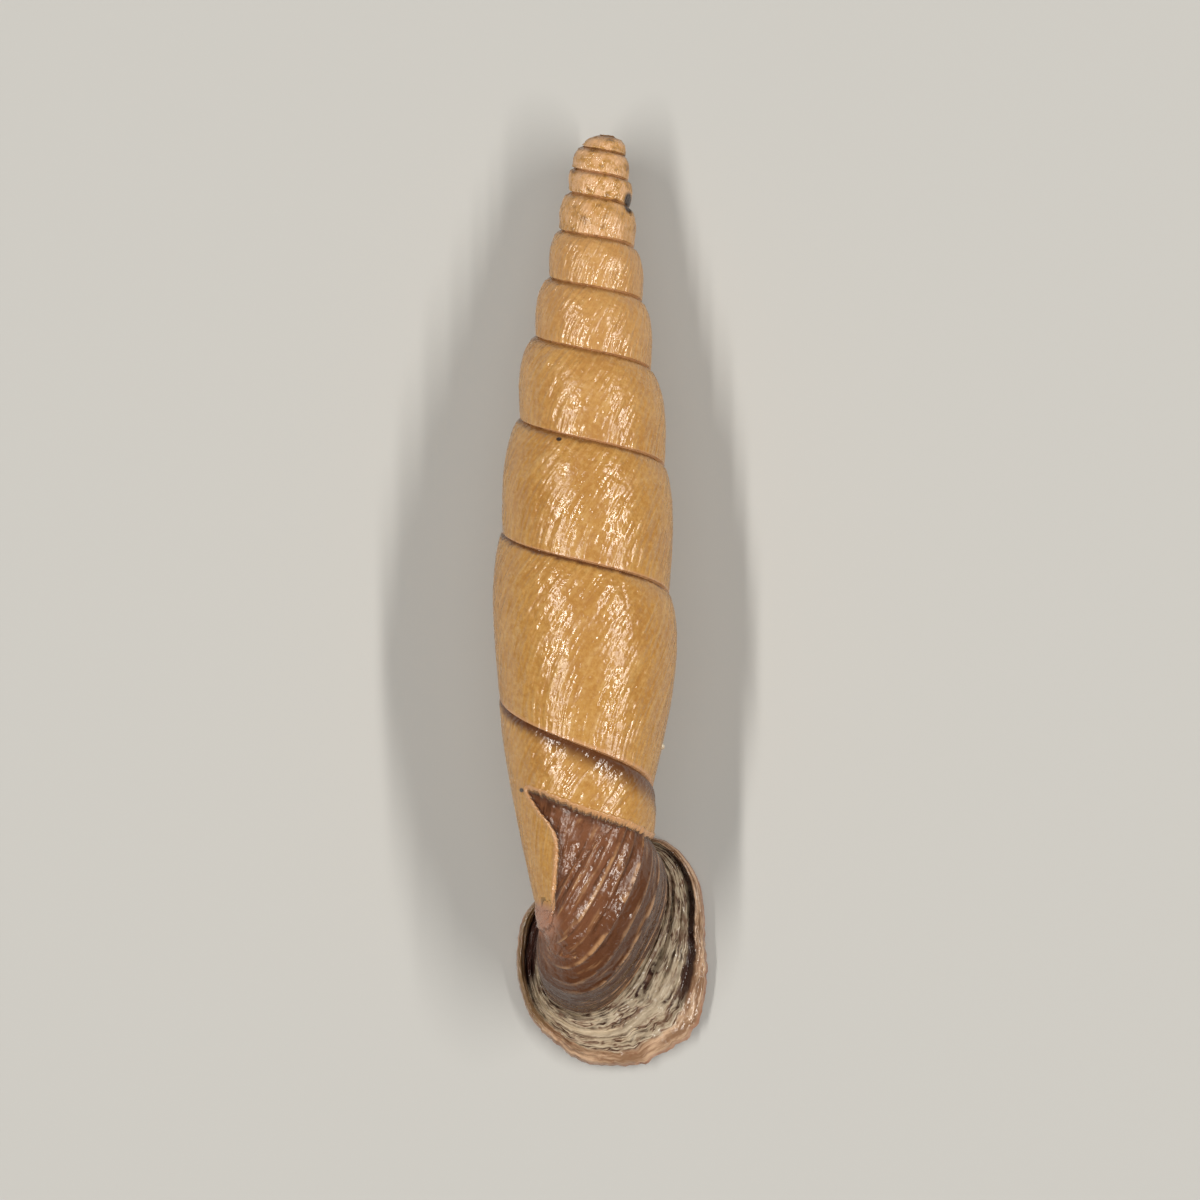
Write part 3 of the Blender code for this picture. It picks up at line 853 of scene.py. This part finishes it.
def tint(tree, colour, over, value, low, high, most=1.0):
    """A colour with another one over it, none where value is low and most where it is high."""
    return blend(tree, between(tree, value, low, high, 0.0, most), colour, over)


def colour_ramp(tree, value, stops):
    made = add(tree, "ValToRGB", {"Fac": value})
    elements = made.color_ramp.elements
    while len(elements) < len(stops):
        elements.new(0.5)
    for element, (place, colour) in zip(elements, stops):
        element.position = place
        element.color = (*colour, 1.0)
    return made.outputs[0]


def spot(tree, place, centre, size):
    """How far a place lies from the centre of a spot, where 1 is the spot's edge."""
    middle = [(value + shift) * MM for value, shift in zip(centre, FRAME_SHIFT)]
    away = add(tree, "VectorMath", {0: place, 1: middle}, operation="SUBTRACT").outputs[0]
    scale = [1 / (value * MM) for value in size]
    away = add(tree, "VectorMath", {0: away, 1: scale}, operation="MULTIPLY").outputs[0]
    return add(tree, "VectorMath", {0: away}, operation="LENGTH").outputs["Value"]


def whorl_lines(tree, growth, detail, roughness):
    """Fine growth lines of the whorls, as noise drawn out along them."""
    start, share, _ = add(tree, "SeparateXYZ", {0: growth}).outputs
    along = product(tree, start, COLOUR_LINE_COUNT)
    across = product(tree, share, COLOUR_LINE_CHANGE)
    flow = add(tree, "CombineXYZ", {0: along, 1: across}).outputs[0]
    return texture(tree, flow, 1.0, detail, roughness)


def neck_lines(tree, growth, place, detail, roughness):
    """Growth lines of the neck and the layers of the lip, as noise drawn out along them."""
    stage, cosine, sine = add(tree, "SeparateXYZ", {0: growth}).outputs
    wavy = product(tree, texture(tree, place, *LINE_WAVES), between(tree, stage, *NECK_WAVE))
    bent = calculate(tree, "ADD", stage, wavy)
    on_neck = calculate(tree, "MINIMUM", bent, 1.0)
    on_lip = product(tree, calculate(tree, "SUBTRACT", bent, on_neck), STRAND_COUNT)
    along = calculate(tree, "MULTIPLY_ADD", on_neck, NECK_LINE_COUNT, on_lip)
    change = between(tree, stage, *NECK_LINE_CHANGE)
    flow = add(tree, "CombineXYZ", {0: along, 1: product(tree, cosine, change),
                                    2: product(tree, sine, change)}).outputs[0]
    return texture(tree, flow, 1.0, detail, roughness)


def suture_band(tree, start, gap, place):
    """How strongly the dark band below a suture shows, from the gap to that suture."""
    waves = texture(tree, place, *BAND_WAVES)
    wavy = calculate(tree, "MULTIPLY_ADD", waves, BAND_WAVE, -BAND_WAVE / 2)
    width = between(tree, start, *BAND_WIDTH)
    depth = calculate(tree, "DIVIDE", calculate(tree, "ADD", gap, wavy), width)
    strength = product(tree, between(tree, start, *BAND_STRENGTH), between(tree, start, *BAND_END))
    return product(tree, between(tree, depth, 0.85, 0.15), strength)


def whorl_colour(tree, growth, place, lines):
    """Tan whorls with fine growth lines, a dark band below each suture, a worn top, painted
    highlights along rounded edges, and dark spots partly of painted shade.
    """
    start, share, gap = add(tree, "SeparateXYZ", {0: growth}).outputs
    patches = texture(tree, place, *PATCHES)
    specks = texture(tree, place, *SPECKS)
    colour = tint(tree, TAN, TAN_DEEP, patches, 0.62, 0.38, 0.5)
    colour = tint(tree, colour, TAN_PALE, lines, 0.48, 0.70, 0.7)
    colour = tint(tree, colour, TAN_DEEP, lines, 0.48, 0.28, 0.7)
    colour = tint(tree, colour, TAN_DEEP, specks, 0.48, 0.66, 0.6)
    colour = tint(tree, colour, TAN_PALE, specks, 0.50, 0.34, 0.5)
    colour = tint(tree, colour, WORN_PINK, start, 15.0, 9.0, 0.2)
    worn_colour = colour_ramp(tree, texture(tree, place, *BLOTCHES), WORN_STOPS)
    colour = blend(tree, between(tree, start, *WORN), colour, worn_colour)
    colour = blend(tree, suture_band(tree, start, gap, place), colour, BAND_BROWN)
    # Painted highlight along the rounded old edge.
    colour = tint(tree, colour, RIM_HIGHLIGHT_PINK, attribute(tree, "old_edge"), 0.16, 0.03, 0.7)
    # Painted highlight along each whorl's rounded lower edge, above the suture.
    colour = tint(tree, colour, RIM_HIGHLIGHT_PINK, share, 0.965, 0.99, 0.7)
    # A dark speck, and painted shade in the chip and in the pit by the old edge.
    for centre, size in DARK_SPOTS_AND_SHADE:
        colour = tint(tree, colour, SPOT_DARK_AND_SHADE, spot(tree, place, centre, size), 1.5, 1.0)
    return tint(tree, colour, SAND_PALE, spot(tree, place, GRAIN_PLACE, GRAIN_SIZE), 1.3, 1.1)


def neck_brown(tree, stage, place, lines, grain):
    """The neck's brown, darker towards the lip, with pale growth lines and pale ridge crests that
    are partly their own paler colour and partly painted highlight.
    """
    brown = tint(tree, NECK_PURPLE, NECK_DARK, stage, *NECK_DARKENS)
    brown = tint(tree, brown, NECK_LIGHT, lines, 0.54, 0.72, 0.6)
    brown = tint(tree, brown, NECK_DARK, lines, 0.46, 0.32, 0.7)
    brown = tint(tree, brown, NECK_DARK, grain, 0.45, 0.8, 0.4)
    # The pale ridge crests are partly the ridges' own paler colour and partly painted highlight,
    # broken into glints.
    unbroken = between(tree, texture(tree, place, *CREST_GLINT_BREAKS), 0.42, 0.56)
    crest = product(tree, between(tree, attribute(tree, "ridge"), 0.3, 0.65), unbroken)
    return blend(tree, product(tree, crest, CREST_GLINT_STRENGTH), brown, NECK_LIGHT)


def lip_layers(tree, place, lines):
    """The lip's layers of cream, grey, brown and near black, mottled."""
    layers = colour_ramp(tree, lines, LAYER_STOPS)
    mottled = texture(tree, place, *MOTTLES)
    layers = tint(tree, layers, LAYER_BROWN, mottled, 0.50, 0.66, 0.75)
    return tint(tree, layers, LAYER_CREAM, mottled, 0.46, 0.34, 0.6)


def lip_groove_shade(tree, ragged, low, side, lean, start, reach):
    """How strongly the painted shade in the groove on one side of the lip shows."""
    out = calculate(tree, "MULTIPLY_ADD", low, lean, side)
    return product(tree, between(tree, ragged, *start), between(tree, out, *reach))


def rim_colour(tree, right, lines, grain):
    """The tan rim of the lip, olive on its left side."""
    rim = tint(tree, RIM_TAN, RIM_PALE, lines, 0.40, 0.62)
    rim = tint(tree, rim, RIM_OLIVE, right, -0.5, -0.8, 0.75)
    return tint(tree, rim, NECK_PURPLE, grain, 0.5, 0.75, 0.6)


def neck_colour(tree, growth, place, lines):
    """The brown neck, then the lip's layers, its white arc, its grooves' painted shade and its rim,
    then painted shadow beside the old edge.
    """
    stage, cosine, sine = add(tree, "SeparateXYZ", {0: growth}).outputs
    right = calculate(tree, "MULTIPLY_ADD", cosine, math.cos(HINGE_ANGLE),
                      product(tree, sine, math.sin(HINGE_ANGLE)))
    low = calculate(tree, "MULTIPLY_ADD", cosine, -math.sin(HINGE_ANGLE),
                    product(tree, sine, math.cos(HINGE_ANGLE)))
    left = product(tree, right, -1.0)
    grain = texture(tree, place, *NECK_GRAIN)
    ragged = calculate(tree, "MULTIPLY_ADD", texture(tree, place, *LAYER_WAVES), LAYER_WAVE,
                       between(tree, right, *LEFT_EARLIER))
    ragged = calculate(tree, "ADD", ragged, stage)
    brown = neck_brown(tree, stage, place, lines, grain)
    colour = tint(tree, brown, lip_layers(tree, place, lines), ragged, *LAYERS_START)
    arc = product(tree, between(tree, ragged, *WHITE_START), between(tree, ragged, *WHITE_END))
    white = product(tree, between(tree, low, 0.2, 0.7, 0.0, 0.8), arc)
    colour = blend(tree, white, colour, LAYER_CREAM)
    # Painted shade in the lip's two grooves.
    groove_shade = calculate(tree, "MAXIMUM", lip_groove_shade(tree, ragged, low, right, *RIGHT_GROOVE_SHADE),
                        lip_groove_shade(tree, ragged, low, left, *LEFT_GROOVE_SHADE))
    colour = blend(tree, groove_shade, colour, DARK_LAYER_AND_SHADE)
    colour = tint(tree, colour, rim_colour(tree, right, lines, grain), ragged, *RIM_START)
    # Painted shadow that the old edge casts on the newer growth beside it.
    return tint(tree, colour, DARK_LAYER_AND_SHADE, attribute(tree, "old_edge"), -0.22, -0.03, 0.5)


def inside_colour(tree, place):
    """The glossy inside of the mouth: pale lip, liver-brown throat."""
    return tint(tree, INSIDE_PALE, INSIDE_BROWN, texture(tree, place, *INSIDE_CLOUDS), 0.3, 0.7)


def fine_relief(tree, growth, place, newer, coarse):
    """The bumped normal: strokes along the growth lines, over coarse and fine dents."""
    strokes = whorl_lines(tree, growth, *WHORL_RELIEF_LINES)
    rings = product(tree, neck_lines(tree, growth, place, *NECK_RELIEF_LINES), NECK_LINE_RELIEF)
    lines = add(tree, "Mix", {"Factor": newer, "A": strokes, "B": rings}).outputs[0]
    fine = product(tree, texture(tree, place, *FINE_DENTS), FINE_RELIEF)
    dents = calculate(tree, "MULTIPLY_ADD", coarse, COARSE_RELIEF, fine)
    height = calculate(tree, "ADD", lines, dents)
    bump = add(tree, "Bump", {"Height": height, "Strength": 1.0, "Distance": RELIEF_DEPTH})
    return bump.outputs[0]


def make_shell_material():
    material = bpy.data.materials.new("shell_surface")
    material.use_nodes = True
    tree = material.node_tree
    shader = tree.nodes["Principled BSDF"]
    growth = attribute(tree, "growth", "Vector")
    region = attribute(tree, "region")
    place = add(tree, "TexCoord").outputs["Object"]
    newer = between(tree, region, *NEWER_START)
    on_whorl = whorl_colour(tree, growth, place, whorl_lines(tree, growth, *WHORL_COLOUR_LINES))
    on_neck = neck_colour(tree, growth, place, neck_lines(tree, growth, place, *NECK_COLOUR_LINES))
    colour = blend(tree, newer, on_whorl, on_neck)
    colour = tint(tree, colour, KNOB_PINK, spot(tree, place, *KNOB), 1.0, 0.5)
    colour = tint(tree, colour, inside_colour(tree, place), region, *INSIDE_START)
    coarse = texture(tree, place, *COARSE_DENTS)
    gloss = product(tree, coarse, texture(tree, place, *GLOSS_PATCHES))
    tree.links.new(colour, shader.inputs["Base Color"])
    tree.links.new(between(tree, gloss, *ROUGHNESS), shader.inputs["Roughness"])
    tree.links.new(fine_relief(tree, growth, place, newer, coarse), shader.inputs["Normal"])
    tree.links.new(between(tree, newer, *REFLECTION), shader.inputs["Specular IOR Level"])
    return material


def make_shell():
    """The whole shell: the spire, the newer growth, the neck and the lip, as one body."""
    shell = make_whorls("shell_surface")
    combine(shell, make_throat_cutter(), "DIFFERENCE")
    combine(shell, make_neck(), "UNION")
    combine(shell, make_ball("chip", CHIP_PLACE, CHIP_SIZE), "DIFFERENCE")
    combine(shell, make_ball("grain", GRAIN_PLACE, GRAIN_SIZE), "UNION")
    combine(shell, make_ground_cutter(), "DIFFERENCE")
    write_traits(shell.data)
    fit_into_solid(shell)
    shell.data.materials.clear()
    shell.data.materials.append(make_shell_material())
    shell.data.shade_smooth()
    shell.data.set_sharp_from_angle(angle=SHARP_ANGLE)
    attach(shell, "root")
    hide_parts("shell")


def make_floor():
    bm = bmesh.new()
    bmesh.ops.create_grid(bm, x_segments=1, y_segments=1, size=FLOOR_REACH)
    mesh = bpy.data.meshes.new("floor")
    bm.to_mesh(mesh)
    bm.free()
    floor = bpy.data.objects.new("floor", mesh)
    bpy.context.scene.collection.objects.link(floor)
    material = bpy.data.materials.new("floor_paper")
    material.use_nodes = True
    shader = material.node_tree.nodes["Principled BSDF"]
    shader.inputs["Base Color"].default_value = (*FLOOR_COLOUR, 1)
    shader.inputs["Roughness"].default_value = FLOOR_ROUGHNESS
    floor.data.materials.append(material)


def make_light(name, place, size, watts):
    """A soft rectangular light that faces the shell."""
    data = bpy.data.lights.new(name, "AREA")
    data.shape = "RECTANGLE"
    data.size, data.size_y = size
    data.energy = watts
    data.color = LIGHT_COLOUR
    light = bpy.data.objects.new(name, data)
    light.location = place
    light.rotation_euler = (-Vector(place)).to_track_quat("-Z", "Y").to_euler()
    bpy.context.scene.collection.objects.link(light)
    return light


def make_studio():
    make_floor()
    make_light("left_light", LEFT_PLACE, STRIP_SIZE, STRIP_WATTS)
    make_light("right_light", RIGHT_PLACE, STRIP_SIZE, STRIP_WATTS)
    top_light = make_light("top_light", TOP_PLACE, TOP_SIZE, TOP_WATTS)
    top_light.visible_glossy = False
    world = bpy.data.worlds.new("studio")
    world.use_nodes = True
    sky = world.node_tree.nodes["Background"]
    sky.inputs["Color"].default_value = (1, 1, 1, 1)
    sky.inputs["Strength"].default_value = SKY_STRENGTH
    bpy.context.scene.world = world
    bpy.context.scene.view_settings.view_transform = "Standard"


def make_camera():
    """The photograph's view, straight down on the shell's dorsal side."""
    data = bpy.data.cameras.new("camera")
    data.sensor_width = SENSOR
    data.lens = SENSOR * CAMERA_DISTANCE / VIEW_WIDTH
    data.clip_start = NEAR_CLIP
    data.clip_end = FAR_CLIP
    camera = bpy.data.objects.new("camera", data)
    x, y, _ = FRAME_SHIFT
    camera.location = (x * MM, y * MM, (CAMERA_HEIGHT + CAMERA_DISTANCE) * MM)
    bpy.context.scene.collection.objects.link(camera)
    bpy.context.scene.camera = camera


make_shell()
make_studio()
make_camera()
